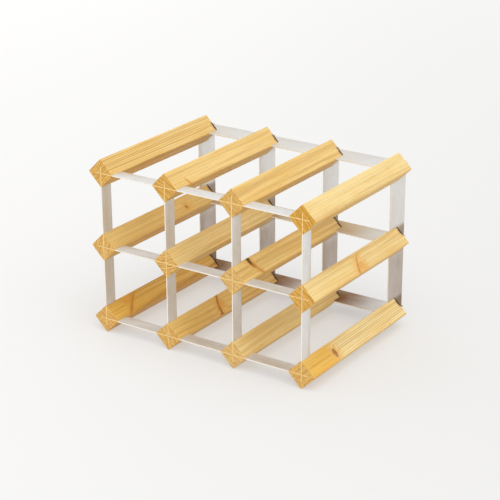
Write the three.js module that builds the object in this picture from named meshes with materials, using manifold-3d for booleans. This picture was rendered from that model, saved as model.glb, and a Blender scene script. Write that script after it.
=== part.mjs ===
// Small free-standing wine rack in pine and galvanised steel.
// Twelve square pine bars lie corner-up from front to rear, four across and three high.
// A grid of flat steel strips ties the bars together at each end. Every strip stands
// edge-on to the front, runs through slits in the bar ends, and is half-lapped with the
// strips that it crosses. The front strips end flush with the bars. The rear strips are
// twice as wide, so half of their width stands out behind the bars.
// The rack holds bottles in the square cells between bars, and in the cradles on top.
//
// Millimetres, +Z up, +X to the right seen from the front, +Y from front to rear.
// The origin is on the floor, in the middle of the footprint.

import * as THREE from 'three';
import { mergeVertices } from 'three/addons/utils/BufferGeometryUtils.js';
import Module from 'manifold-3d';

const wasm = await Module();
wasm.setup();

// Driving dimensions.
const PITCH = 96; // between the centre lines of neighbouring bars, both ways
const BARS_ACROSS = 4;
const BARS_HIGH = 3;
const BAR_SIDE = 26; // side of the square section
const BAR_LENGTH = 220;
const ARRIS_FLAT = 0.77; // width of the flat that eases each long corner
const STRIP_THICKNESS = 1.5;
const FRONT_STRIP_WIDTH = 18; // also how far a strip sits in the wood, front and rear
const REAR_STRIP_WIDTH = 36;
const FRONT_OVERHANG = 9; // how far a front strip runs past its last crossing
const REAR_OVERHANG = 3.5; // the same for a rear strip
const CLEARANCE = 0.3; // between steel and wood, and between crossing strips

// Sizes worked out from the driving dimensions.
const HALF_DIAGONAL = BAR_SIDE / Math.SQRT2 - ARRIS_FLAT / 2;
const LOWEST_AXIS_Z = HALF_DIAGONAL;
const REAR_STRIP_FRONT_Y = BAR_LENGTH - FRONT_STRIP_WIDTH;
const OVERALL_DEPTH = REAR_STRIP_FRONT_Y + REAR_STRIP_WIDTH;
const SLIT_WIDTH = STRIP_THICKNESS + 2 * CLEARANCE;
const CUT_MARGIN = 5; // how far a cutter reaches past the surface that it opens

const ROW_NAMES = ['bottom', 'middle', 'top'];

const columnX = (column) => (column - (BARS_ACROSS - 1) / 2) * PITCH;
const rowZ = (row) => LOWEST_AXIS_Z + row * PITCH;

const pine = () =>
  new THREE.MeshStandardMaterial({ color: 0xdcb26c, roughness: 0.55, metalness: 0 });
const galvanisedSteel = () =>
  new THREE.MeshStandardMaterial({ color: 0xc6c4c0, roughness: 0.42, metalness: 0.9 });

function toManifold(geometry) {
  const bare = geometry.clone();
  bare.deleteAttribute('normal');
  bare.deleteAttribute('uv');
  const merged = mergeVertices(bare);
  const mesh = new wasm.Mesh({
    numProp: 3,
    vertProperties: new Float32Array(merged.attributes.position.array),
    triVerts: new Uint32Array(merged.index.array),
  });
  return new wasm.Manifold(mesh);
}

function toGeometry(manifold) {
  const { numProp, vertProperties, triVerts } = manifold.getMesh();
  const geometry = new THREE.BufferGeometry();
  geometry.setAttribute('position', new THREE.BufferAttribute(vertProperties, numProp));
  geometry.setIndex(new THREE.BufferAttribute(triVerts, 1));
  geometry.computeVertexNormals();
  return geometry;
}

// Square section standing on one corner, with a small flat across each corner.
function barSection() {
  const halfFlat = ARRIS_FLAT / 2;
  const shape = new THREE.Shape();
  shape.moveTo(HALF_DIAGONAL, -halfFlat);
  shape.lineTo(HALF_DIAGONAL, halfFlat);
  shape.lineTo(halfFlat, HALF_DIAGONAL);
  shape.lineTo(-halfFlat, HALF_DIAGONAL);
  shape.lineTo(-HALF_DIAGONAL, halfFlat);
  shape.lineTo(-HALF_DIAGONAL, -halfFlat);
  shape.lineTo(-halfFlat, -HALF_DIAGONAL);
  shape.lineTo(halfFlat, -HALF_DIAGONAL);
  shape.closePath();
  return shape;
}

// Closed box between two corners given as [x, y, z].
function cutter(low, high) {
  const size = high.map((value, axis) => value - low[axis]);
  const box = new THREE.BoxGeometry(...size);
  box.translate(...low.map((value, axis) => value + size[axis] / 2));
  return toManifold(box);
}

// A slit reaches through the bar's corner where the strip runs on to the next bar,
// and stops just past the strip's own end where this is the last bar.
function slitReach(runsOn, overhang) {
  return runsOn ? HALF_DIAGONAL + CUT_MARGIN : overhang + CLEARANCE;
}

// One bar with its axis on the local Y axis and its front end at y = 0.
function barGeometry(column, row) {
  const half = SLIT_WIDTH / 2;
  const slitDepth = FRONT_STRIP_WIDTH + CLEARANCE;
  const ends = [
    { start: -CUT_MARGIN, stop: slitDepth, overhang: FRONT_OVERHANG },
    { start: BAR_LENGTH - slitDepth, stop: BAR_LENGTH + CUT_MARGIN, overhang: REAR_OVERHANG },
  ];
  const blank = new THREE.ExtrudeGeometry(barSection(), { depth: BAR_LENGTH, bevelEnabled: false });
  blank.rotateX(-Math.PI / 2);
  let bar = toManifold(blank);
  for (const { start, stop, overhang } of ends) {
    const left = -slitReach(column > 0, overhang);
    const right = slitReach(column < BARS_ACROSS - 1, overhang);
    const down = -slitReach(row > 0, overhang);
    const up = slitReach(row < BARS_HIGH - 1, overhang);
    bar = bar.subtract(cutter([-half, start, down], [half, stop, up]));
    bar = bar.subtract(cutter([left, start, -half], [right, stop, half]));
  }
  return toGeometry(bar);
}

// Flat strip along the local X axis from the first crossing at x = 0, its width along Y
// from y = 0, and its thickness centred on z = 0. A half-lap slot opens at each crossing,
// from the y = 0 edge or from the far edge.
function stripGeometry(width, overhang, crossings, slotsInNearEdge) {
  const slotDepth = width / 2 + CLEARANCE / 2;
  const start = -overhang;
  const end = (crossings - 1) * PITCH + overhang;
  const slottedY = slotsInNearEdge ? 0 : width;
  const plainY = width - slottedY;
  const slotBottomY = slotsInNearEdge ? slotDepth : width - slotDepth;
  const shape = new THREE.Shape();
  shape.moveTo(end, plainY);
  shape.lineTo(start, plainY);
  shape.lineTo(start, slottedY);
  for (let index = 0; index < crossings; index += 1) {
    const slotStart = index * PITCH - SLIT_WIDTH / 2;
    const slotEnd = slotStart + SLIT_WIDTH;
    shape.lineTo(slotStart, slottedY);
    shape.lineTo(slotStart, slotBottomY);
    shape.lineTo(slotEnd, slotBottomY);
    shape.lineTo(slotEnd, slottedY);
  }
  shape.lineTo(end, slottedY);
  shape.closePath();
  const strip = new THREE.ExtrudeGeometry(shape, { depth: STRIP_THICKNESS, bevelEnabled: false });
  strip.translate(0, 0, -STRIP_THICKNESS / 2);
  return strip;
}

function addMesh(parent, name, geometry, material, position) {
  const mesh = new THREE.Mesh(geometry, material);
  mesh.name = name;
  mesh.position.set(...position);
  parent.add(mesh);
  return mesh;
}

function addBars(rack) {
  for (let row = 0; row < BARS_HIGH; row += 1) {
    for (let column = 0; column < BARS_ACROSS; column += 1) {
      const name = `${ROW_NAMES[row]}_bar_${column + 1}`;
      addMesh(rack, name, barGeometry(column, row), pine(), [columnX(column), 0, rowZ(row)]);
    }
  }
}

// One grid of uprights and rails. The uprights are left whole at the outer edge, which is
// the near edge (lower y) of the front grid and the far edge of the rear grid.
function addStripGrid(rack, { side, nearY, width, overhang, outerEdgeIsNear }) {
  for (let column = 0; column < BARS_ACROSS; column += 1) {
    const geometry = stripGeometry(width, overhang, BARS_HIGH, !outerEdgeIsNear);
    const place = [columnX(column), nearY, rowZ(0)];
    const name = `${side}_upright_${column + 1}`;
    const upright = addMesh(rack, name, geometry, galvanisedSteel(), place);
    upright.rotation.y = -Math.PI / 2;
  }
  for (let row = 0; row < BARS_HIGH; row += 1) {
    const geometry = stripGeometry(width, overhang, BARS_ACROSS, outerEdgeIsNear);
    const place = [columnX(0), nearY, rowZ(row)];
    addMesh(rack, `${side}_rail_${ROW_NAMES[row]}`, geometry, galvanisedSteel(), place);
  }
}

const FRONT_GRID = {
  side: 'front',
  nearY: 0,
  width: FRONT_STRIP_WIDTH,
  overhang: FRONT_OVERHANG,
  outerEdgeIsNear: true,
};
const REAR_GRID = {
  side: 'rear',
  nearY: REAR_STRIP_FRONT_Y,
  width: REAR_STRIP_WIDTH,
  overhang: REAR_OVERHANG,
  outerEdgeIsNear: false,
};

const rack = new THREE.Group();
addBars(rack);
addStripGrid(rack, FRONT_GRID);
addStripGrid(rack, REAR_GRID);
rack.position.y = -OVERALL_DEPTH / 2;

export default rack;
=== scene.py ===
"""Looks of a small wine rack in pine and galvanised steel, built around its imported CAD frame.

Each of the twelve bars and fourteen strips is rebuilt as a finer mesh in the place of its CAD
node: the bars with rounded, lightly worn arrises and slits that fit the steel, and the strips
with rolled-over sheared edges. Two procedural materials finish them. The pine is cut from a
log: every bar carries its place in the log and beside its knots as mesh attributes, so that
the growth rings run through the sides and the end grain alike.

Metres, +Z up, +X to the right seen from the front, +Y from front to rear.
"""

import math
from collections import namedtuple

import bmesh
import bpy
from mathutils import Matrix, Vector, noise


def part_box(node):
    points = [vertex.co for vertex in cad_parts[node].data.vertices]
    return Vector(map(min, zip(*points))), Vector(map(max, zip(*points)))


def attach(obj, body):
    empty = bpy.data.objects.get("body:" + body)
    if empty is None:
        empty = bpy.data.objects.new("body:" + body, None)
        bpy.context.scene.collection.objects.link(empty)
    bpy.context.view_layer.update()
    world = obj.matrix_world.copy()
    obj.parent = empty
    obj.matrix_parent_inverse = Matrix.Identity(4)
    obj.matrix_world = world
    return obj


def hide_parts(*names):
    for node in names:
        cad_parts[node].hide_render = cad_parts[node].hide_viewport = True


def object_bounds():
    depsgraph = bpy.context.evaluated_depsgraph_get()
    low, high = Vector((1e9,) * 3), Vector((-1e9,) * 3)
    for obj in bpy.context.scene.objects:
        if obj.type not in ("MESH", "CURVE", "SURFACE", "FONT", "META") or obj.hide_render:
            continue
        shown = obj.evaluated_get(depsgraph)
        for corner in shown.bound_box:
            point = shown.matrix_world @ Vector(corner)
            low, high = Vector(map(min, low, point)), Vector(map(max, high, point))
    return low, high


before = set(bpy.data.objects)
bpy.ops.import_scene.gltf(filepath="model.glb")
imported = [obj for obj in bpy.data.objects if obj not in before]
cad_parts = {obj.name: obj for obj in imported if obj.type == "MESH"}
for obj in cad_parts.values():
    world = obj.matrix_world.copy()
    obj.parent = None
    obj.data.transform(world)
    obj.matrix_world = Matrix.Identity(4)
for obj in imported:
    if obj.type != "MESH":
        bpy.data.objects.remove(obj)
cad_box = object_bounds()

MM = 0.001
RACK_HEIGHT = cad_box[1].z

# Camera: where it aims, how far back it stands, and its turn, in degrees.
CAMERA_AIM = Vector((0.0, -0.0106, 0.1059))
CAMERA_DISTANCE = 1.9344
CAMERA_AZIMUTH = 34.11
CAMERA_ELEVATION = 21.79
CAMERA_ROLL = -0.29
CAMERA_LENS_MM = 112.56
SENSOR_WIDTH_MM = 36.0

# Lights, with the key light's spread in degrees. The studio's strength falls from left to
# right between two x directions.
KEY_LIGHT = 1.4
KEY_LIGHT_SPREAD = 60.0
KEY_LIGHT_FROM = Vector((0.75, -0.45, 1.6))
STUDIO_LEFT = 0.98
STUDIO_RIGHT = 0.91
STUDIO_FALL = (-0.67, -0.42)

# Floor: its shade, and its own glow, which grows to the left and the rear of the view, each
# over a range of distances from the middle of the rack.
FLOOR_RADIUS = 9.0
FLOOR_SIDES = 96
FLOOR_SHADE = 0.35
FLOOR_GLOW = 0.41
FLOOR_GLOW_LEFT = 0.08
FLOOR_GLOW_REAR = 0.05
VIEW_LEFT = (-0.83, -0.56, 0.0)
VIEW_REAR = (-0.56, 0.83, 0.0)
LEFT_RANGE = (-0.6, 0.6)
REAR_RANGE = (0.2, 2.5)

# Bars. Wear is noise at two scales, in cells a metre. A dead knot's hollow deepens from
# HOLLOW_REACH, in radii, to the middle of the knot.
ARRIS_RADIUS = 0.93 * MM
ARC_STEPS = 4
FLAT_STEPS = 9
STATION_PITCH = 2.5 * MM
END_CHAMFER = 0.3 * MM
ARRIS_WEAR = 0.28 * MM
COARSE_WEAR = 60
FINE_WEAR = 260
KNOT_HOLLOW = 0.12 * MM
HOLLOW_REACH = 1.2

# Growth rings: their width, how far waves, ripples and knots bend them, about how far a bar
# lies from the pith, and how dark the wood gets across one ring.
RING_WIDTH = 2.6 * MM
RING_WAVE = 5 * MM
RING_RIPPLE = 0.9 * MM
KNOT_BEND = 4 * MM
USUAL_PITH_DISTANCE = 42 * MM
LATE_WOOD_PROFILE = ((0, 0.5), (0.1, 0.03), (0.45, 0.1), (0.8, 1), (0.93, 0.95), (1, 0.5))

# Relief of the grain and of the zinc, which the materials make with bump.
GRAIN_RELIEF = 0.1 * MM
ZINC_RELIEF = 0.02 * MM

# Painted shade: a dark line on the wood's rim at the rear of each bar, standing in for the
# shade on the steel behind its end. Its width is a share of half the bar's length.
REAR_SHADE_WIDTH = 0.033

# Slits: a close fit on the steel, with torn fibres round the mouth. The mouth flares by
# LEAST_FLARE of MOUTH_FLARE or more, and TEARS is noise cells a metre.
SLIT_PLAY = 0.06 * MM
MOUTH_DEPTH = 0.35 * MM
MOUTH_FLARE = 0.16 * MM
LEAST_FLARE = 0.35
TEARS = 900
CUT_MARGIN = 2 * MM
CUTTER_PITCH = 0.8 * MM

# Points nearer to each other than this are joined once the slits are cut.
WELD_DISTANCE = 0.001 * MM

# Strips. The steel meets the wood between these two distances from a crossing, in bar pitches.
SHEARED_EDGE_RADIUS = 0.18 * MM
LAP_CLEARANCE = 0.15 * MM
CLEAR_OF_WOOD = 0.194
IN_WOOD = 0.187

# Edges that turn by more than this many degrees stay sharp in the shading.
SHARP_EDGE = 32.0

ROWS = ("bottom", "middle", "top")
COLUMNS = (1, 2, 3, 4)

# A knot is a branch that runs from start to end, both (x, y, z) in millimetres from the middle
# of the bar's front end, and bows sideways by `bow` radii. Darkness goes from 0, a pale live
# knot, to 1, a dead one.
Knot = namedtuple("Knot", "start end radius darkness bow")

# A bar's stock: tone from -1, pale, to 1, deep orange; figure, how strongly its growth rings
# show; pith, the log's centre line, as (x, z) in millimetres from the bar's own; at most two
# knots; and end_tone, the tone of the end grain. Tone and figure are given at the front and
# the rear end.
Stock = namedtuple("Stock", "tone figure pith knots end_tone", defaults=(0.0,))

# From a bar's axis to the sharp corner that its rounded arris takes away, in millimetres.
SHARP_CORNER = 18.4


def on_upper_right_face(across, y, depth=0.0):
    """(x, y, z) of a point on a bar's upper right face, in millimetres.

    across is measured from the top arris to the right one, y from the front end, and depth
    straight into the wood.
    """
    step = across / math.sqrt(2)
    inward = depth / math.sqrt(2)
    return (step - inward, y, SHARP_CORNER - step - inward)


STOCKS = {
    "top_bar_1": Stock((0.15, -0.2), (1.0, 1.0), (-34, 30), [], 0.3),
    "top_bar_2": Stock(
        (0.1, -0.05),
        (0.35, 0.35),
        (-30, -60),
        [
            Knot(on_upper_right_face(16, 25, 0.6), on_upper_right_face(28, 30, 0.6), 1.5, 0.45, 0.3),
            Knot((5, 34, 0), (15, 41, -7), 3.4, 0.35, 0),
        ],
        0.5,
    ),
    "top_bar_3": Stock((0, 0), (0.6, 0.6), (26, 30), [Knot((0, 120, 0), (-14, 128, 14), 3.2, 0.5, 0)]),
    "top_bar_4": Stock(
        (-0.5, -0.55),
        (0.3, 0.3),
        (-50, -44),
        [Knot((3, 35, -2), (11, 38, -12), 5.2, 0.12, 0.2)],
        0.9,
    ),
    "middle_bar_1": Stock(
        (0.2, 0.2),
        (0.6, 0.6),
        (40, -8),
        [Knot((2, 150, 0), (14, 160, 10), 3.0, 0.7, 0)],
    ),
    "middle_bar_2": Stock((-0.3, -0.4), (0.4, 0.4), (-20, 60), [], -0.1),
    "middle_bar_3": Stock(
        (0.2, 0.1),
        (0.5, 0.5),
        (-22, -50),
        [
            Knot(on_upper_right_face(14, 33, 0.5), on_upper_right_face(2, 30, 0.3), 3.2, 1.0, 0.1),
            Knot(on_upper_right_face(27, 43, 0.5), on_upper_right_face(12, 34, 0.4), 2.4, 0.4, 0.4),
        ],
        -0.6,
    ),
    "middle_bar_4": Stock(
        (-0.4, -0.3),
        (0.4, 0.6),
        (-30, -40),
        [
            Knot(on_upper_right_face(22, 115, 8), on_upper_right_face(19, 112, -3), 5.6, 0.1, 0),
            Knot(on_upper_right_face(4, 116, 0.5), on_upper_right_face(26, 101, 0.3), 1.3, 0.5, -1.0),
        ],
        0.6,
    ),
    "bottom_bar_1": Stock(
        (0.95, 0.75),
        (0.9, 0.9),
        (-14, -40),
        [
            Knot(on_upper_right_face(0, 57, 0.5), on_upper_right_face(25, 28, 0.4), 1.8, 0.5, -0.6),
            Knot(on_upper_right_face(6, 40, 6), on_upper_right_face(5, 37, -2), 3.6, 0.0, 0),
        ],
    ),
    "bottom_bar_2": Stock(
        (0.35, 0.25),
        (0.6, 0.6),
        (-34, -16),
        [
            Knot(on_upper_right_face(0, 102, 0.5), on_upper_right_face(25, 91, 0.3), 2.5, 0.75, -0.6),
            Knot(on_upper_right_face(15, 102, 6), on_upper_right_face(15, 101, -2), 3.4, 0.05, 0),
        ],
    ),
    "bottom_bar_3": Stock(
        (-0.35, -0.25),
        (0.35, 0.5),
        (30, 50),
        [Knot((0, 186, -2), (14, 190, -12), 3.0, 0.4, 0)],
        -0.8,
    ),
    "bottom_bar_4": Stock(
        (0.95, -0.8),
        (0.35, 1.0),
        (34, -30),
        [Knot(on_upper_right_face(9, 57, 5), on_upper_right_face(18, 60, -4), 4.6, 0.75, 0)],
    ),
}

# A bar's tone changes over this length, about its first knot or, without one, its middle.
TONE_CHANGE = 24 * MM
BAR_MIDDLE = 110 * MM

# Stands in for a missing knot, far off the bar's end.
NO_KNOT = Knot((0, -400, 0), (0, -390, 0), 1.0, 0.0, 0)


class Tree:
    """Short calls that add nodes to one material."""

    def __init__(self, name):
        self.material = bpy.data.materials.new(name)
        self.material.use_nodes = True
        self.nodes = self.material.node_tree.nodes
        self.links = self.material.node_tree.links
        self.nodes.clear()
        self.shader = self.nodes.new("ShaderNodeBsdfPrincipled")
        output = self.nodes.new("ShaderNodeOutputMaterial")
        self.links.new(self.shader.outputs[0], output.inputs["Surface"])

    def feed(self, socket, value):
        """Links value to the socket if it comes from a node, and otherwise sets it."""
        if isinstance(value, bpy.types.NodeSocket):
            self.links.new(value, socket)
        else:
            socket.default_value = value

    def math(self, operation, *values, clamp=False):
        node = self.nodes.new("ShaderNodeMath")
        node.operation = operation
        node.use_clamp = clamp
        for socket, value in zip(node.inputs, values):
            self.feed(socket, value)
        return node.outputs[0]

    def vector(self, operation, *values):
        node = self.nodes.new("ShaderNodeVectorMath")
        node.operation = operation
        for socket, value in zip(node.inputs, values):
            self.feed(socket, value)
        return node.outputs["Value" if operation in ("LENGTH", "DOT_PRODUCT") else "Vector"]

    def attribute(self, name):
        node = self.nodes.new("ShaderNodeAttribute")
        node.attribute_name = name
        return node.outputs["Vector"]

    def parts(self, vector):
        node = self.nodes.new("ShaderNodeSeparateXYZ")
        self.feed(node.inputs[0], vector)
        return node.outputs

    def join(self, x, y, z):
        node = self.nodes.new("ShaderNodeCombineXYZ")
        for socket, value in zip(node.inputs, (x, y, z)):
            self.feed(socket, value)
        return node.outputs[0]

    def noise(self, vector, stretch, detail=2.0, roughness=0.5):
        """Noise from 0 to 1 with `stretch` cells a metre along each axis."""
        node = self.nodes.new("ShaderNodeTexNoise")
        self.feed(node.inputs["Vector"], self.vector("MULTIPLY", vector, stretch))
        node.inputs["Scale"].default_value = 1.0
        node.inputs["Detail"].default_value = detail
        node.inputs["Roughness"].default_value = roughness
        return node.outputs["Fac"]

    def line_noise(self, value, scale):
        """Noise from 0 to 1 along one value."""
        node = self.nodes.new("ShaderNodeTexNoise")
        node.noise_dimensions = "1D"
        self.feed(node.inputs["W"], value)
        node.inputs["Scale"].default_value = scale
        return node.outputs["Fac"]

    def cells(self, vector, stretch):
        """One random value from 0 to 1 for each Voronoi cell."""
        node = self.nodes.new("ShaderNodeTexVoronoi")
        self.feed(node.inputs["Vector"], self.vector("MULTIPLY", vector, stretch))
        node.inputs["Scale"].default_value = 1.0
        return self.parts(node.outputs["Color"])[0]

    def smooth(self, value, low, high):
        """0 at low, 1 at high, and a smooth step in between."""
        node = self.nodes.new("ShaderNodeMapRange")
        node.interpolation_type = "SMOOTHSTEP"
        self.feed(node.inputs["Value"], value)
        node.inputs["From Min"].default_value = low
        node.inputs["From Max"].default_value = high
        return node.outputs["Result"]

    def mix(self, share, first, second, blend="MIX"):
        """The first colour at share 0 and the second at share 1."""
        node = self.nodes.new("ShaderNodeMix")
        node.data_type = "RGBA"
        node.blend_type = blend
        colours = [socket for socket in node.inputs if socket.type == "RGBA"]
        self.feed(node.inputs[0], share)
        self.feed(colours[0], first)
        self.feed(colours[1], second)
        return next(socket for socket in node.outputs if socket.type == "RGBA")

    def tint(self, base, share, strength, shade):
        """The base colour, moved towards the shade by the share times the strength."""
        return self.mix(self.math("MULTIPLY", share, strength), base, shade)

    def curve(self, value, *stops):
        """A value read off straight lines between (place, level) stops."""
        node = self.nodes.new("ShaderNodeValToRGB")
        self.feed(node.inputs[0], value)
        elements = node.color_ramp.elements
        while len(elements) < len(stops):
            elements.new(0.5)
        for element, (place, level) in zip(elements, stops):
            element.position = place
            element.color = (level, level, level, 1.0)
        return node.outputs["Color"]

    def bump(self, height, distance, strength):
        node = self.nodes.new("ShaderNodeBump")
        self.feed(node.inputs["Height"], height)
        node.inputs["Distance"].default_value = distance
        node.inputs["Strength"].default_value = strength
        return node.outputs["Normal"]


def colour(red, green, blue):
    """A linear colour from its 0 to 255 display values."""

    def linear(level):
        level /= 255
        return level / 12.92 if level <= 0.04045 else ((level + 0.055) / 1.055) ** 2.4

    return (linear(red), linear(green), linear(blue), 1.0)


def knot_masks(tree, name, wobble):
    """How far a point is inside a knot and near it, and its distance from the axis in radii."""
    along, across, up = tree.parts(tree.attribute(name))
    square = tree.math("MULTIPLY_ADD", across, across, tree.math("MULTIPLY", up, up))
    taper = tree.math("MULTIPLY_ADD", along, 0.5, 0.5)
    radial = tree.math("DIVIDE", tree.math("SQRT", square), tree.math("MAXIMUM", taper, 0.35))
    radial = tree.math("MULTIPLY_ADD", tree.math("SUBTRACT", wobble, 0.5), 1.6, radial)
    reach = tree.math("MULTIPLY", tree.smooth(along, -0.25, 0.1), tree.smooth(along, 1.35, 1.0))
    core = tree.math("MULTIPLY", tree.smooth(radial, 1.3, 0.6), reach)
    near = tree.math("MULTIPLY", tree.smooth(radial, 4.2, 0.9), reach)
    return core, near, radial


def growth_rings(tree, log, near):
    """How dark the late wood is here, from 0 to 1: rings round the pith, bent by the knots."""
    distance = tree.vector("LENGTH", tree.vector("MULTIPLY", log, (1.0, 0.0, 1.0)))
    wave = tree.math("SUBTRACT", tree.noise(log, (24, 4, 24), detail=1), 0.5)
    ripple = tree.math("SUBTRACT", tree.noise(log, (170, 16, 170), detail=2), 0.5)
    distance = tree.math("MULTIPLY_ADD", wave, RING_WAVE, distance)
    distance = tree.math("MULTIPLY_ADD", ripple, RING_RIPPLE, distance)
    distance = tree.math("MULTIPLY_ADD", tree.math("MULTIPLY", near, near), KNOT_BEND, distance)
    ring = tree.math("DIVIDE", distance, RING_WIDTH)
    ring = tree.math("MULTIPLY_ADD", tree.line_noise(ring, 0.6), 1.4, ring)
    late = tree.curve(tree.math("FRACT", ring), *LATE_WOOD_PROFILE)
    strength = tree.math("MULTIPLY_ADD", tree.line_noise(ring, 0.37), 0.6, 0.35)
    return tree.math("MULTIPLY", late, strength)


def add_knots(tree, wood, knots, darkness):
    """The wood with an orange halo round each knot, then the knot with its rings and bark."""
    for (core, near, radial), dark_share in zip(knots, darkness):
        wood = tree.tint(wood, near, 0.42, colour(216, 150, 52))
        live = tree.mix(dark_share, colour(226, 166, 88), colour(92, 52, 18))
        dark = tree.mix(dark_share, colour(192, 122, 46), colour(32, 15, 6))
        rings = tree.math("SINE", tree.math("MULTIPLY", radial, 16.0))
        knot = tree.mix(tree.math("MULTIPLY_ADD", rings, 0.25, 0.35), live, dark)
        bark = tree.math("MULTIPLY", tree.smooth(radial, 0.55, 0.9), core)
        knot = tree.tint(knot, bark, 0.7, dark)
        cover = tree.math("MULTIPLY", core, tree.math("MULTIPLY_ADD", dark_share, 0.5, 0.42))
        wood = tree.mix(cover, wood, knot)
    return wood


def painted_rear_shade(tree, bar):
    """Painted shade: a dark line on the wood's rim at the rear of a bar's upper right face, by the
    corners that strips run out of, standing in for the deep shade on the steel behind the end.

    Returns how strong its soft brown halo of painted shade is, and then the line itself.
    """
    side_x, along, side_z = tree.parts(bar)
    runs_right, runs_up, _ = tree.parts(tree.attribute("runs_on"))
    by_rail = tree.math("MULTIPLY", tree.smooth(side_z, 0.2, -0.15), runs_right)
    by_upright = tree.math("MULTIPLY", tree.smooth(side_z, -0.2, 0.15), runs_up)
    reach = tree.math("MAXIMUM", by_rail, by_upright)
    reach = tree.math("MULTIPLY", reach, tree.smooth(side_x, 0.9, 0.97))
    reach = tree.math("MULTIPLY", reach, tree.math("LESS_THAN", along, 1.0))
    ragged = tree.noise(bar, (3, 4, 3), detail=1)
    ragged = tree.math("MULTIPLY_ADD", ragged, 1.2 * REAR_SHADE_WIDTH, along)
    halo = tree.smooth(ragged, 1 - 1.2 * REAR_SHADE_WIDTH, 1 + 0.1 * REAR_SHADE_WIDTH)
    line = tree.smooth(ragged, 1 - 0.3 * REAR_SHADE_WIDTH, 1 + 0.15 * REAR_SHADE_WIDTH)
    return tree.math("MULTIPLY", reach, halo), tree.math("MULTIPLY", reach, line)


# Patterns in the wood, each from 0 to 1, that its colour, gloss and relief share.
Grain = namedtuple("Grain", "late fibre line streak cloud resin")


def pine_grain(tree, log, near):
    return Grain(
        late=growth_rings(tree, log, near),
        fibre=tree.noise(log, (2600, 60, 2600), detail=3, roughness=0.6),
        line=tree.noise(log, (760, 9, 760), detail=2, roughness=0.6),
        streak=tree.noise(log, (330, 6, 330), detail=2),
        cloud=tree.noise(log, (60, 12, 60), detail=2),
        resin=tree.smooth(tree.noise(log, (1500, 120, 1500), detail=0), 0.76, 0.84),
    )


def side_wood(tree, grain, tone, figure):
    """The colour of a bar's four sides."""
    tone_share = tree.math("MULTIPLY_ADD", tone, 0.5, 0.5)
    early_wood = tree.mix(tone_share, colour(230, 213, 158), colour(220, 174, 74))
    late_wood = tree.mix(tone_share, colour(190, 148, 76), colour(158, 102, 28))
    wood = tree.tint(early_wood, grain.late, figure, late_wood)
    wood = tree.tint(wood, tree.smooth(grain.cloud, 0.4, 0.72), 0.35, colour(214, 166, 76))
    wood = tree.tint(wood, tree.smooth(grain.streak, 0.35, 0.75), 0.16, colour(160, 102, 42))
    wood = tree.tint(wood, tree.smooth(grain.line, 0.5, 0.72), 0.28, colour(158, 100, 40))
    wood = tree.tint(wood, tree.smooth(grain.line, 0.46, 0.3), 0.22, colour(246, 226, 174))
    wood = tree.tint(wood, tree.smooth(grain.fibre, 0.45, 0.8), 0.14, colour(176, 118, 54))
    return tree.tint(wood, grain.resin, 0.4, colour(146, 92, 40))


def end_wood(tree, log, late, end_tone):
    """The colour of a bar's ends, which drink the finish. Flecks follow the rings round the pith."""
    log_x, _, log_z = tree.parts(log)
    from_pith = tree.vector("LENGTH", tree.join(log_x, 0.0, log_z))
    round_pith = tree.math("MULTIPLY", tree.math("ARCTAN2", log_x, log_z), USUAL_PITH_DISTANCE)
    fleck = tree.noise(tree.join(from_pith, round_pith, 0.0), (820, 170, 1), detail=2)
    blotch = tree.noise(log, (330, 330, 330), detail=2)
    pores = tree.noise(log, (1500, 40, 1500), detail=3, roughness=0.7)
    tone_share = tree.math("MULTIPLY_ADD", end_tone, 0.5, 0.5)
    early_wood = tree.mix(tone_share, colour(238, 206, 140), colour(234, 180, 70))
    late_wood = tree.mix(tone_share, colour(160, 110, 50), colour(140, 78, 10))
    wood = tree.mix(late, early_wood, late_wood)
    wood = tree.tint(wood, tree.smooth(blotch, 0.45, 0.7), 0.4, colour(190, 124, 36))
    wood = tree.tint(wood, tree.smooth(fleck, 0.47, 0.36), 0.34, colour(248, 208, 118))
    wood = tree.tint(wood, tree.smooth(fleck, 0.54, 0.68), 0.42, colour(164, 102, 34))
    return tree.tint(wood, tree.smooth(pores, 0.35, 0.75), 0.3, colour(170, 112, 44))


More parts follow.
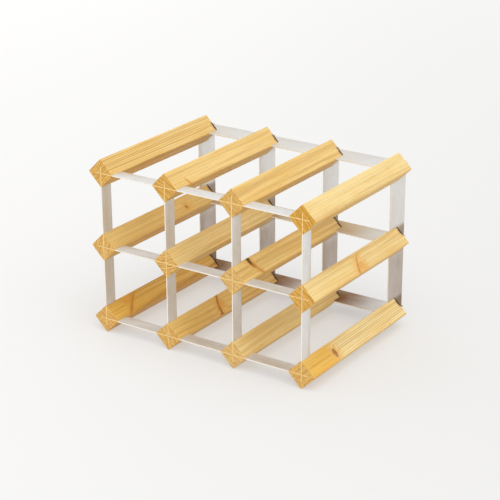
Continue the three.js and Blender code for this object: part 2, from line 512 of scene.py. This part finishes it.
def pine():
    """Clear-finished pine with growth rings, fibres, resin lines, knots and darker end grain,
    and painted shade on the two sides that face down and at the rear ends.
    """
    tree = Tree("pine")
    log = tree.attribute("log_point")
    bar = tree.attribute("bar_point")
    side_x, along, side_z = tree.parts(bar)
    tone, figure, end_tone = tree.parts(tree.attribute("stock"))
    darkness = tree.parts(tree.attribute("knot_darkness"))[:2]

    wobble = tree.noise(log, (240, 130, 240), detail=2)
    knots = [knot_masks(tree, name, wobble) for name in ("knot_1", "knot_2")]
    core = tree.math("MAXIMUM", knots[0][0], knots[1][0])
    near = tree.math("MAXIMUM", knots[0][1], knots[1][1])
    grain = pine_grain(tree, log, near)

    at_end = tree.math("GREATER_THAN", tree.math("ABSOLUTE", along), 1.0)
    wood = add_knots(tree, side_wood(tree, grain, tone, figure), knots, darkness)
    wood = tree.mix(at_end, wood, end_wood(tree, log, grain.late, end_tone))

    # Worn arrises are a little paler and rougher.
    arris = tree.math("MINIMUM", tree.math("ABSOLUTE", side_x), tree.math("ABSOLUTE", side_z))
    worn = tree.math("MULTIPLY", tree.smooth(arris, 0.9, 1.0), tree.smooth(grain.cloud, 0.3, 0.6))
    wood = tree.tint(wood, worn, 0.35, colour(246, 224, 180))

    # Painted shade: the two sides that face down are tinted a little warmer and darker than the
    # upper ones, as if in warm bounced shade.
    shaded_lower_sides = tree.math("MAXIMUM", tree.smooth(side_x, -0.8, -0.97), tree.smooth(side_z, -0.8, -0.97))
    shaded_lower_sides = tree.math("MULTIPLY", shaded_lower_sides, tree.math("SUBTRACT", 1.0, at_end))
    painted_shade_tint = tree.mix(1.0, wood, colour(252, 238, 204), "MULTIPLY")
    wood = tree.tint(wood, shaded_lower_sides, 0.8, painted_shade_tint)

    # Painted shade at the rear end: a brown halo and a near-black line on the wood's rim.
    halo, rear_shade_line = painted_rear_shade(tree, bar)
    wood = tree.tint(wood, halo, 0.5, colour(132, 82, 36))
    wood = tree.tint(wood, rear_shade_line, 0.97, colour(30, 18, 10))
    tree.feed(tree.shader.inputs["Base Color"], wood)

    roughness = tree.math("MULTIPLY_ADD", grain.late, -0.1, 0.48)
    roughness = tree.math("MULTIPLY_ADD", grain.fibre, 0.1, roughness)
    roughness = tree.math("MULTIPLY_ADD", at_end, 0.14, roughness)
    roughness = tree.math("MULTIPLY_ADD", worn, 0.08, roughness)
    roughness = tree.math("MULTIPLY_ADD", rear_shade_line, 0.2, roughness)
    tree.feed(tree.shader.inputs["Roughness"], roughness)
    tree.shader.inputs["Specular IOR Level"].default_value = 0.25

    height = tree.math("MULTIPLY_ADD", grain.late, 0.5, tree.math("MULTIPLY", grain.fibre, 0.5))
    height = tree.math("MULTIPLY_ADD", grain.line, 0.5, height)
    height = tree.math("MULTIPLY_ADD", grain.resin, -0.4, height)
    height = tree.math("MULTIPLY_ADD", core, 0.4, height)
    tree.feed(tree.shader.inputs["Normal"], tree.bump(height, GRAIN_RELIEF, 0.6))
    return tree.material


# Where a point lies on its strip. The first three are 0 or 1: on a sheared edge, on a rear
# strip, on an upright. along runs from one crossing to the next in steps of 1, from_crossing
# is the distance to the nearest one on the same scale, and height_share is 1 at the rack's top.
StripPlace = namedtuple("StripPlace", "edge is_rear is_upright along from_crossing height_share")


def strip_place(tree):
    edge, is_rear, is_upright = tree.parts(tree.attribute("strip_edge"))
    along, height_share, _ = tree.parts(tree.attribute("strip_crossings"))
    phase = tree.math("SUBTRACT", tree.math("FRACT", tree.math("ADD", along, 0.5)), 0.5)
    from_crossing = tree.math("ABSOLUTE", phase)
    return StripPlace(edge, is_rear, is_upright, along, from_crossing, height_share)


def zinc_coat(tree, point, spangle, rolling, smudge):
    """The colour of clean zinc, with faint spangle, rolling lines, smudges and specks."""
    speck = tree.smooth(tree.noise(point, (900, 900, 900), detail=1), 0.7, 0.82)
    zinc = tree.mix(spangle, colour(231, 230, 228), colour(236, 235, 233))
    zinc = tree.tint(zinc, tree.smooth(rolling, 0.3, 0.8), 0.3, colour(212, 211, 207))
    zinc = tree.tint(zinc, tree.smooth(smudge, 0.45, 0.8), 0.3, colour(208, 203, 194))
    return tree.tint(zinc, speck, 0.25, colour(170, 168, 165))


def add_painted_shade(tree, zinc, place, smudge):
    """The zinc with painted shade and a painted brown reflection of the wood on the rear strips,
    darker low down, and how strong the painting is.

    The painted shade fades to the right between one bar and the next on the rails, and deepens
    on the rear uprights where the bars meet them.
    """
    # Painted shade, darker low down where the bars above shade the rear strips.
    depth_of_shade = tree.math("MULTIPLY_ADD", tree.smooth(place.height_share, 0.9, 0.45), 0.8, 0.2)
    low = tree.smooth(place.height_share, 0.48, 0.38)
    on_rail = tree.smooth(tree.math("FRACT", place.along), 0.8, 0.15)
    on_rail = tree.math("MULTIPLY_ADD", on_rail, 0.78, 0.2)
    on_upright = tree.math("MULTIPLY_ADD", low, 0.3, 0.18)
    difference = tree.math("SUBTRACT", on_upright, on_rail)
    painted_shade = tree.math("MULTIPLY_ADD", place.is_upright, difference, on_rail)
    painted_shade = tree.math("MULTIPLY", tree.math("MULTIPLY", painted_shade, place.is_rear), depth_of_shade)
    painted_shade = tree.math("MULTIPLY", painted_shade, tree.math("MULTIPLY_ADD", smudge, 0.6, 0.7), clamp=True)
    # Painted shade and painted reflection of the wood: brown, and darker low down.
    zinc = tree.mix(painted_shade, zinc, tree.mix(low, colour(204, 174, 124), colour(148, 108, 68)))

    # Painted shade on the rear uprights where each bar's end meets them.
    on_rear_upright = tree.math("MULTIPLY", place.is_upright, place.is_rear)
    shade_by_bar = tree.math("MULTIPLY", tree.smooth(place.from_crossing, 0.22, 0.14), on_rear_upright)
    shade_by_bar = tree.math("MULTIPLY", shade_by_bar, tree.math("MULTIPLY", depth_of_shade, 0.75))
    zinc = tree.mix(shade_by_bar, zinc, colour(136, 104, 72))
    return zinc, tree.math("MAXIMUM", painted_shade, shade_by_bar)


def sheared_edge(tree, place, shear):
    """The colour of a cut edge: bright, and golden where it lies in a front bar end's finish."""
    share = tree.smooth(shear, 0.3, 0.8)
    bare = tree.mix(share, colour(252, 246, 234), colour(240, 233, 220))
    oiled = tree.mix(share, colour(255, 218, 140), colour(248, 206, 126))
    is_front = tree.math("SUBTRACT", 1.0, place.is_rear)
    in_wood = tree.smooth(place.from_crossing, CLEAR_OF_WOOD, IN_WOOD)
    return tree.mix(tree.math("MULTIPLY", in_wood, is_front), bare, oiled)


def galvanised_steel():
    """Satin zinc-coated sheet: faint spangle, rolling lines, smudges and bright sheared edges,
    with painted shade and a painted reflection of the wood on the rear strips.
    """
    tree = Tree("galvanised_steel")
    point = tree.attribute("strip_point")
    place = strip_place(tree)
    spangle = tree.cells(point, (170, 170, 170))
    rolling = tree.noise(point, (14, 2200, 2200), detail=2)
    smudge = tree.noise(point, (34, 60, 34), detail=3, roughness=0.6)
    shear = tree.noise(point, (1600, 1600, 300), detail=1)

    zinc = zinc_coat(tree, point, spangle, rolling, smudge)
    zinc, painted_shade = add_painted_shade(tree, zinc, place, smudge)
    steel = tree.mix(place.edge, zinc, sheared_edge(tree, place, shear))
    tree.feed(tree.shader.inputs["Base Color"], steel)
    tree.feed(tree.shader.inputs["Metallic"], tree.math("MULTIPLY_ADD", place.edge, -0.5, 1.0))

    roughness = tree.math("MULTIPLY_ADD", spangle, 0.03, 0.38)
    roughness = tree.math("MULTIPLY_ADD", rolling, 0.06, roughness)
    roughness = tree.math("MULTIPLY_ADD", smudge, 0.08, roughness)
    roughness = tree.math("MULTIPLY_ADD", painted_shade, 0.2, roughness)
    roughness = tree.math("MULTIPLY_ADD", place.edge, 0.15, roughness)
    tree.feed(tree.shader.inputs["Roughness"], roughness)

    height = tree.math("MULTIPLY_ADD", rolling, 0.4, tree.math("MULTIPLY", spangle, 0.3))
    height = tree.math("MULTIPLY_ADD", tree.math("MULTIPLY", shear, place.edge), 0.8, height)
    tree.feed(tree.shader.inputs["Normal"], tree.bump(height, ZINC_RELIEF, 0.4))
    return tree.material


def pale_floor():
    """A matt sheet, lit from below like a light table, so that the shadows on it stay faint."""
    tree = Tree("pale_floor")
    tree.shader.inputs["Emission Color"].default_value = (1.0, 0.995, 0.985, 1.0)
    position = tree.nodes.new("ShaderNodeNewGeometry").outputs["Position"]
    to_left = tree.smooth(tree.vector("DOT_PRODUCT", position, VIEW_LEFT), *LEFT_RANGE)
    to_rear = tree.smooth(tree.vector("DOT_PRODUCT", position, VIEW_REAR), *REAR_RANGE)
    glow = tree.math("MULTIPLY_ADD", to_left, FLOOR_GLOW_LEFT, FLOOR_GLOW)
    glow = tree.math("MULTIPLY_ADD", to_rear, FLOOR_GLOW_REAR, glow)
    tree.feed(tree.shader.inputs["Emission Strength"], glow)
    tree.shader.inputs["Base Color"].default_value = (FLOOR_SHADE, FLOOR_SHADE, FLOOR_SHADE, 1.0)
    tree.shader.inputs["Roughness"].default_value = 0.75
    tree.shader.inputs["Specular IOR Level"].default_value = 0.15
    return tree.material


def new_object(name, shape):
    """An object in the scene from a bmesh, which is used up."""
    bmesh.ops.recalc_face_normals(shape, faces=shape.faces)
    mesh = bpy.data.meshes.new(name)
    shape.to_mesh(mesh)
    shape.free()
    made = bpy.data.objects.new(name, mesh)
    bpy.context.scene.collection.objects.link(made)
    return made


def middle(node):
    """The centre of a node's box."""
    low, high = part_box(node)
    return (low + high) / 2


def strip_thickness(node):
    low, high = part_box(node)
    return min(high - low)


def write_attribute(mesh, name, vectors):
    """Stores one vector for each vertex."""
    layer = mesh.attributes.new(name, "FLOAT_VECTOR", "POINT")
    layer.data.foreach_set("vector", [value for vector in vectors for value in vector])


def write_same(mesh, name, vector):
    """Stores the same vector for every vertex."""
    write_attribute(mesh, name, [vector] * len(mesh.vertices))


def skin(shape, rings):
    """Joins neighbouring closed rings of vertices with quads, and caps both ends."""
    for ring, following in zip(rings, rings[1:]):
        for index in range(len(ring)):
            after = (index + 1) % len(ring)
            shape.faces.new((ring[index], ring[after], following[after], following[index]))
    shape.faces.new(rings[0])
    shape.faces.new(rings[-1])


def split_quads(shape):
    """Splits the quads into flat triangles, so that a cut through them leaves no open edge."""
    quads = [face for face in shape.faces if len(face.verts) == 4]
    bmesh.ops.triangulate(shape, faces=quads)


def section_outline(half_diagonal):
    """The bar's section as (point, outward direction, whether it is on an arris) rows, in x and z."""
    arc_centre = half_diagonal - ARRIS_RADIUS
    arcs = []
    for corner in range(4):
        corner_angle = corner * math.pi / 2
        centre = Vector((math.cos(corner_angle), math.sin(corner_angle))) * arc_centre
        arc = []
        for step in range(ARC_STEPS + 1):
            angle = corner_angle + (step / ARC_STEPS - 0.5) * math.pi / 2
            outward = Vector((math.cos(angle), math.sin(angle)))
            arc.append((centre + outward * ARRIS_RADIUS, outward, True))
        arcs.append(arc)
    outline = []
    for arc, following in zip(arcs, arcs[1:] + arcs[:1]):
        outline += arc
        start, outward, _ = arc[-1]
        end = following[0][0]
        for step in range(1, FLAT_STEPS):
            outline.append((start.lerp(end, step / FLAT_STEPS), outward, False))
    return outline


def bar_stations(front, rear):
    """(y, inset) of each ring of vertices along a bar, with a small chamfer at both ends."""
    count = round((rear - front) / STATION_PITCH)
    stations = [(front, END_CHAMFER), (front + END_CHAMFER, 0.0)]
    stations += [(front + (rear - front) * step / count, 0.0) for step in range(1, count)]
    stations += [(rear - END_CHAMFER, 0.0), (rear, END_CHAMFER)]
    return stations


def knot_point(knot, place):
    """A place in the bar as (share of the knot's length, two distances from its axis in radii).

    The knot's middle bows sideways by `bow` radii, and its ends stay put.
    """
    start = Vector(knot.start) * MM
    axis = Vector(knot.end) * MM - start
    length = axis.length
    axis.normalize()
    side = axis.cross(Vector((1.0, 0.0, 1.0))).normalized()
    offset = place - start
    radius = knot.radius * MM
    along = offset.dot(axis) / length
    bowed = offset.dot(side) / radius + knot.bow * 4 * along * (1 - along)
    return Vector((along, bowed, offset.dot(axis.cross(side)) / radius))


def worn_depth(place, on_arris, knots):
    """How far the surface lies under its nominal place, from dents on arrises and shrunk knots."""
    depth = 0.0
    if on_arris:
        coarse = noise.noise(place * COARSE_WEAR)
        fine = noise.noise(place * FINE_WEAR)
        depth += ARRIS_WEAR * max(0.0, coarse * 0.6 + fine * 0.7)
    for knot in knots:
        along, across, up = knot_point(knot, place)
        if -0.1 < along < 1.2:
            radial = math.hypot(across, up)
            depth += KNOT_HOLLOW * knot.darkness * max(0.0, HOLLOW_REACH - radial)
    return depth


def bar_blank(node, stock, seed):
    """The whole bar before it is slit, as a new object. The seed shifts the wear of its arrises."""
    low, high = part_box(node)
    centre = middle(node)
    outline = section_outline((high.x - low.x) / 2)
    shape = bmesh.new()
    rings = []
    for y, inset in bar_stations(low.y, high.y):
        ring = []
        for point, outward, on_arris in outline:
            place = Vector((point.x, y - low.y, point.y))
            depth = worn_depth(place + seed * on_arris, on_arris, [] if on_arris else stock.knots)
            point = point - outward * (inset + depth)
            ring.append(shape.verts.new((centre.x + point.x, y, centre.z + point.y)))
        rings.append(ring)
    skin(shape, rings)
    split_quads(shape)
    return new_object(node + "_pine", shape)


def slit_wall(side, flare, half, mouth, bottom):
    """One side of a slit's section as (width, y) points, from outside the bar to the bottom."""
    inward = 1.0 if bottom > mouth else -1.0
    return [
        (side * flare, mouth - inward * CUT_MARGIN),
        (side * flare, mouth),
        (side * half, mouth + inward * MOUTH_DEPTH),
        (side * half, bottom),
    ]


def slit_cutter(centre, mouth, bottom, low, high, upright, seed):
    """A solid that cuts one slit from its mouth at a bar's end to its bottom, both in y.

    The slit runs from low to high along z if upright and along x if not, and its middle is
    at `centre`. Its mouth flares unevenly, where the saw tore the fibres, and the seed keeps
    two bars from tearing alike.
    """
    half = strip_thickness("front_upright_1") / 2 + SLIT_PLAY
    count = max(2, round((high - low) / CUTTER_PITCH))

    def place(position, width, y):
        return (centre.x + width, y, position) if upright else (position, y, centre.z + width)

    def flare(position, side):
        tear = noise.noise(Vector((position * TEARS, side * 7.0 + seed.x, seed.z)))
        return half + MOUTH_FLARE * (LEAST_FLARE + max(0.0, tear))

    shape = bmesh.new()
    rings = []
    for step in range(count + 1):
        position = low + (high - low) * step / count
        first, second = [
            slit_wall(side, flare(position, side), half, mouth, bottom) for side in (-1, 1)
        ]
        outline = first + second[::-1]
        rings.append([shape.verts.new(place(position, width, y)) for width, y in outline])
    skin(shape, rings)
    split_quads(shape)
    return new_object("slit_cutter", shape)


def slit_span(bar_low, bar_high, strip_low, strip_high):
    """From where to where a slit runs: past the bar's arris, or just past the strip's end."""
    low = max(bar_low - CUT_MARGIN, strip_low - SLIT_PLAY)
    high = min(bar_high + CUT_MARGIN, strip_high + SLIT_PLAY)
    return low, high


def cut_slits(bar, node, row, column, seed):
    """Cuts the upright's and the rail's slit into both ends of the bar."""
    low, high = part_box(node)
    centre = middle(node)
    cutters = []
    for side, mouth in (("front", low.y), ("rear", high.y)):
        upright_low, upright_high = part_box(f"{side}_upright_{column}")
        rail_low, rail_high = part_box(f"{side}_rail_{row}")
        bottom = upright_high.y + SLIT_PLAY if side == "front" else upright_low.y - SLIT_PLAY
        span = slit_span(low.z, high.z, upright_low.z, upright_high.z)
        cutters.append(slit_cutter(centre, mouth, bottom, *span, True, seed))
        span = slit_span(low.x, high.x, rail_low.x, rail_high.x)
        cutters.append(slit_cutter(centre, mouth, bottom, *span, False, seed))
    for cutter in cutters:
        modifier = bar.modifiers.new("slit", "BOOLEAN")
        modifier.solver = "EXACT"
        modifier.object = cutter
    apply_modifiers(bar)
    for cutter in cutters:
        bpy.data.objects.remove(cutter)


def apply_modifiers(piece):
    """Bakes the piece's modifiers into its mesh, and joins the points that lie together."""
    graph = bpy.context.evaluated_depsgraph_get()
    mesh = bpy.data.meshes.new_from_object(piece.evaluated_get(graph))
    piece.modifiers.clear()
    piece.data = mesh
    shape = bmesh.new()
    shape.from_mesh(mesh)
    bmesh.ops.remove_doubles(shape, verts=shape.verts, dist=WELD_DISTANCE)
    shape.to_mesh(mesh)
    shape.free()


def finish_piece(piece, material, node):
    """Shades the piece smooth between sharp edges, and hangs it on the frame."""
    mesh = piece.data
    mesh.materials.clear()
    mesh.materials.append(material)
    mesh.polygons.foreach_set("use_smooth", [True] * len(mesh.polygons))
    mesh.set_sharp_from_angle(angle=math.radians(SHARP_EDGE))
    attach(piece, "root")
    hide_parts(node)


def tone_and_figure(stock, y):
    """The stock's tone and figure at y from the front end, which change smoothly."""
    turn = stock.knots[0].start[1] * MM if stock.knots else BAR_MIDDLE
    share = min(1.0, max(0.0, (y - turn) / TONE_CHANGE + 0.5))
    share = share * share * (3 - 2 * share)
    return [front + (rear - front) * share for front, rear in (stock.tone, stock.figure)]


def write_stock(mesh, node, stock, row_index, column):
    """Stores each vertex's place in the bar, in the log and beside the knots.

    bar_point holds the two distances from the bar's middle, square to its faces, as shares
    of half its side, and a length along it that only passes 1 on the end grain. log_point is
    measured from the pith, and most bars start at a place of their own along the log.
    """
    low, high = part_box(node)
    centre = middle(node)
    half_side = ((high.x - low.x) / 2 + ARRIS_RADIUS * (math.sqrt(2) - 1)) / math.sqrt(2)
    half_length = (high.y - low.y) / 2 - END_CHAMFER / 2
    pith = Vector((stock.pith[0], 0.0, stock.pith[1])) * MM
    along_log = Vector((0.0, stock.pith[0] * 0.1, 0.0))
    knots = (stock.knots + [NO_KNOT, NO_KNOT])[:2]
    bar_points, log_points, stocks, knot_1, knot_2 = [], [], [], [], []
    for vertex in mesh.vertices:
        offset = vertex.co - centre
        across = (offset.x + offset.z) / math.sqrt(2)
        up = (offset.z - offset.x) / math.sqrt(2)
        bar_points.append((across / half_side, offset.y / half_length, up / half_side))
        place = Vector((offset.x, vertex.co.y - low.y, offset.z))
        log_points.append(place - pith + along_log)
        stocks.append((*tone_and_figure(stock, place.y), stock.end_tone))
        knot_1.append(knot_point(knots[0], place))
        knot_2.append(knot_point(knots[1], place))
    write_attribute(mesh, "bar_point", bar_points)
    write_attribute(mesh, "log_point", log_points)
    write_attribute(mesh, "knot_1", knot_1)
    write_attribute(mesh, "knot_2", knot_2)
    write_attribute(mesh, "stock", stocks)
    write_same(mesh, "knot_darkness", (knots[0].darkness, knots[1].darkness, 0.0))
    write_same(mesh, "runs_on", (column < COLUMNS[-1], row_index < len(ROWS) - 1, 0.0))


def build_bars(material):
    """All the bars. Each bar's seed only has to lie well away from the others."""
    for row_index, row in enumerate(ROWS):
        for column in COLUMNS:
            node = f"{row}_bar_{column}"
            stock = STOCKS[node]
            seed = Vector((column * 3.7, 0.0, row_index * 5.3))
            bar = bar_blank(node, stock, seed)
            cut_slits(bar, node, row, column, seed)
            write_stock(bar.data, node, stock, row_index, column)
            finish_piece(bar, material, node)


def strip_outline(along_low, along_high, near, far, crossings, slotted_edge):
    """A strip's outline as (along, y) points, with a half-lap slot at each crossing."""
    plain_edge = near if slotted_edge == far else far
    half_way = (near + far) / 2
    slot_bottom = half_way + math.copysign(LAP_CLEARANCE, plain_edge - slotted_edge)
    half_slot = strip_thickness("front_upright_1") / 2 + 2 * LAP_CLEARANCE
    outline = [(along_high, plain_edge), (along_low, plain_edge), (along_low, slotted_edge)]
    for crossing in crossings:
        outline += [
            (crossing - half_slot, slotted_edge),
            (crossing - half_slot, slot_bottom),
            (crossing + half_slot, slot_bottom),
            (crossing + half_slot, slotted_edge),
        ]
    outline.append((along_high, slotted_edge))
    return outline


def strip_blank(node, upright, crossings, slotted_edge):
    """One strip with rolled-over sheared edges, in the box of its CAD node, as a new object."""
    low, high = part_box(node)
    centre = middle(node)
    half = strip_thickness(node) / 2
    along_low, along_high = (low.z, high.z) if upright else (low.x, high.x)
    outline = strip_outline(along_low, along_high, low.y, high.y, crossings, slotted_edge)

    def place(along, y, thin):
        return (centre.x + thin, y, along) if upright else (along, y, centre.z + thin)

    shape = bmesh.new()
    rings = [[shape.verts.new(place(*point, thin)) for point in outline] for thin in (-half, half)]
    skin(shape, rings)
    first = set(rings[0])
    rims = [edge for edge in shape.edges if (edge.verts[0] in first) == (edge.verts[1] in first)]
    bmesh.ops.bevel(
        shape,
        geom=rims,
        offset=SHEARED_EDGE_RADIUS,
        segments=2,
        affect="EDGES",
        profile=0.5,
    )
    return new_object(node + "_steel", shape)


def write_strip(mesh, node, upright, crossings):
    """Stores each vertex's place in the sheet and on the strip.

    strip_point is shifted by the strip's own place, so that no two strips look the same.
    """
    centre = middle(node)
    edge_limit = strip_thickness(node) / 2 - 0.5 * SHEARED_EDGE_RADIUS
    is_rear = float(node.startswith("rear"))
    pitch = crossings[1] - crossings[0]
    points, edges, places = [], [], []
    for vertex in mesh.vertices:
        offset = vertex.co - centre
        thin = offset.x if upright else offset.z
        along = vertex.co.z if upright else vertex.co.x
        points.append((along + centre.x * 3.1, vertex.co.y, thin + centre.z * 2.3))
        edges.append((float(abs(thin) < edge_limit), is_rear, float(upright)))
        places.append(((along - crossings[0]) / pitch, vertex.co.z / RACK_HEIGHT, 0.0))
    write_attribute(mesh, "strip_point", points)
    write_attribute(mesh, "strip_edge", edges)
    write_attribute(mesh, "strip_crossings", places)


def build_strip(node, upright, crossings, slotted_edge, material):
    strip = strip_blank(node, upright, crossings, slotted_edge)
    write_strip(strip.data, node, upright, crossings)
    finish_piece(strip, material, node)


def build_strips(material):
    columns = [middle(f"front_upright_{column}").x for column in COLUMNS]
    rows = [middle(f"front_rail_{row}").z for row in ROWS]
    for side in ("front", "rear"):
        low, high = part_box(f"{side}_upright_1")
        outer, inner = (low.y, high.y) if side == "front" else (high.y, low.y)
        for column in COLUMNS:
            build_strip(f"{side}_upright_{column}", True, rows, inner, material)
        for row in ROWS:
            build_strip(f"{side}_rail_{row}", False, columns, outer, material)


def build_floor():
    """A wide pale disc, finely edged so that no corner shows."""
    shape = bmesh.new()
    rim = []
    for side in range(FLOOR_SIDES):
        turn = side * 2 * math.pi / FLOOR_SIDES
        rim.append(shape.verts.new((FLOOR_RADIUS * math.cos(turn), FLOOR_RADIUS * math.sin(turn), 0.0)))
    shape.faces.new(rim)
    floor = new_object("floor", shape)
    floor.data.materials.append(pale_floor())


def aim(made, target):
    """Turns a lamp so that it points at the target."""
    made.rotation_mode = "QUATERNION"
    made.rotation_quaternion = (target - made.location).to_track_quat("-Z", "Y")


def build_key_light():
    """Very soft light from overhead, to the right and in front."""
    lamp = bpy.data.lights.new("key_light", "SUN")
    lamp.energy = KEY_LIGHT
    lamp.angle = math.radians(KEY_LIGHT_SPREAD)
    lamp.color = (1.0, 0.985, 0.955)
    made = bpy.data.objects.new("key_light", lamp)
    made.location = KEY_LIGHT_FROM
    aim(made, Vector((0.0, 0.0, 0.0)))
    bpy.context.scene.collection.objects.link(made)


def build_studio():
    """White light from all round, a little stronger from the far left."""
    world = bpy.data.worlds.new("studio")
    world.use_nodes = True
    nodes = world.node_tree.nodes
    links = world.node_tree.links
    coordinates = nodes.new("ShaderNodeTexCoord")
    parts = nodes.new("ShaderNodeSeparateXYZ")
    level = nodes.new("ShaderNodeMapRange")
    level.inputs["From Min"].default_value = STUDIO_FALL[0]
    level.inputs["From Max"].default_value = STUDIO_FALL[1]
    level.inputs["To Min"].default_value = STUDIO_LEFT
    level.inputs["To Max"].default_value = STUDIO_RIGHT
    background = nodes["Background"]
    background.inputs["Color"].default_value = (1.0, 1.0, 1.0, 1.0)
    links.new(coordinates.outputs["Generated"], parts.inputs[0])
    links.new(parts.outputs["X"], level.inputs["Value"])
    links.new(level.outputs["Result"], background.inputs["Strength"])
    bpy.context.scene.world = world


def build_camera():
    azimuth = math.radians(CAMERA_AZIMUTH)
    elevation = math.radians(CAMERA_ELEVATION)
    roll = math.radians(CAMERA_ROLL)
    back = Vector((
        math.sin(azimuth) * math.cos(elevation),
        -math.cos(azimuth) * math.cos(elevation),
        math.sin(elevation),
    ))
    right = Vector((math.cos(azimuth), math.sin(azimuth), 0.0))
    up = back.cross(right)
    turn = Matrix((right, up, back)).transposed() @ Matrix.Rotation(roll, 3, "Z")
    lens = bpy.data.cameras.new("camera")
    lens.lens = CAMERA_LENS_MM
    lens.sensor_width = SENSOR_WIDTH_MM
    camera = bpy.data.objects.new("camera", lens)
    camera.matrix_world = Matrix.Translation(CAMERA_AIM + back * CAMERA_DISTANCE) @ turn.to_4x4()
    bpy.context.scene.collection.objects.link(camera)
    bpy.context.scene.camera = camera
    bpy.context.scene.view_settings.view_transform = "Standard"


build_camera()
build_floor()
build_key_light()
build_studio()
build_bars(pine())
build_strips(galvanised_steel())
